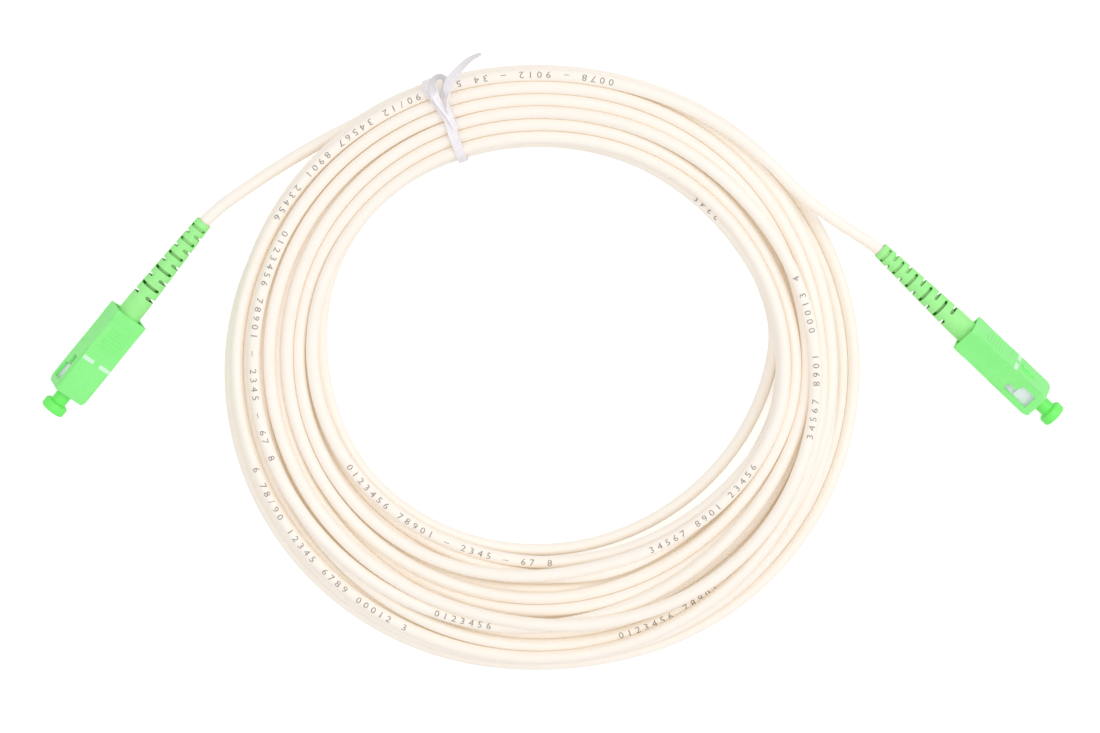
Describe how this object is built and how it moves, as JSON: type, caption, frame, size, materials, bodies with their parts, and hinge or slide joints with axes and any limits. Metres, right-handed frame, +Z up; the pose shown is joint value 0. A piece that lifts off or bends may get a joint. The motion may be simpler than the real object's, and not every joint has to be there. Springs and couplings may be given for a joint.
{
  "type": "fiber optic patch cord",
  "caption": "Coiled and tied fibre patch cord with an angled push-pull plug, slotted bend boot and dust cap on each end.",
  "frame": {"origin": "on the surface that the cord lies on, under the centre of the coil", "axes": "+Z up, +X the way plug B points; plug A points 86 degrees clockwise of it, seen from above"},
  "size_m": [0.1856, 0.1713, 0.0195],
  "materials": {
    "jacket": "satin",
    "tie_plastic": "satin",
    "sleeve_green": "satin",
    "frame_white": "satin",
    "zirconia": "polished",
    "plated_metal": "satin",
    "spring_steel": "satin",
    "crimp_metal": "satin",
    "aramid": "matte",
    "fibre_buffer": "satin",
    "boot_green": "satin",
    "cap_green": "satin"
  },
  "bodies": {
    "cord": {"cable_lead_a": "jacket", "cable_coil": "jacket", "cable_lead_b": "jacket", "twist_tie": "tie_plastic", "plug_frame_a": "frame_white", "ferrule_spring_a": "spring_steel", "backbone_a": "plated_metal", "crimp_sleeve_a": "crimp_metal", "aramid_yarn_a": "aramid", "boot_a": "boot_green", "plug_frame_b": "frame_white", "ferrule_spring_b": "spring_steel", "backbone_b": "plated_metal", "crimp_sleeve_b": "crimp_metal", "aramid_yarn_b": "aramid", "boot_b": "boot_green"},
    "sleeve_a": {"grip_sleeve_a": "sleeve_green"},
    "ferrule_set_a": {"ferrule_a": "zirconia", "ferrule_flange_a": "plated_metal", "buffered_fibre_a": "fibre_buffer"},
    "cap_a": {"dust_cap_a": "cap_green"},
    "sleeve_b": {"grip_sleeve_b": "sleeve_green"},
    "ferrule_set_b": {"ferrule_b": "zirconia", "ferrule_flange_b": "plated_metal", "buffered_fibre_b": "fibre_buffer"},
    "cap_b": {"dust_cap_b": "cap_green"}
  },
  "joints": [
    {"name": "sleeve_a_pull", "type": "slide", "parent": "cord", "child": "sleeve_a", "axis": [-0.0698, 0.9976, 0], "range_m": [0, 0.0016]},
    {"name": "ferrule_a_float", "type": "slide", "parent": "cord", "child": "ferrule_set_a", "axis": [-0.0698, 0.9976, 0], "range_m": [0, 0.001], "stiffness_N_per_m": 800, "deforming": ["ferrule_spring_a"]},
    {"name": "cap_a_pull", "type": "slide", "parent": "cord", "child": "cap_a", "axis": [0.0698, -0.9976, 0], "range_m": [0, 0.012]},
    {"name": "sleeve_b_pull", "type": "slide", "parent": "cord", "child": "sleeve_b", "axis": [-1, 0, 0], "range_m": [0, 0.0016]},
    {"name": "ferrule_b_float", "type": "slide", "parent": "cord", "child": "ferrule_set_b", "axis": [-1, 0, 0], "range_m": [0, 0.001], "stiffness_N_per_m": 800, "deforming": ["ferrule_spring_b"]},
    {"name": "cap_b_pull", "type": "slide", "parent": "cord", "child": "cap_b", "axis": [1, 0, 0], "range_m": [0, 0.012]}
  ]
}
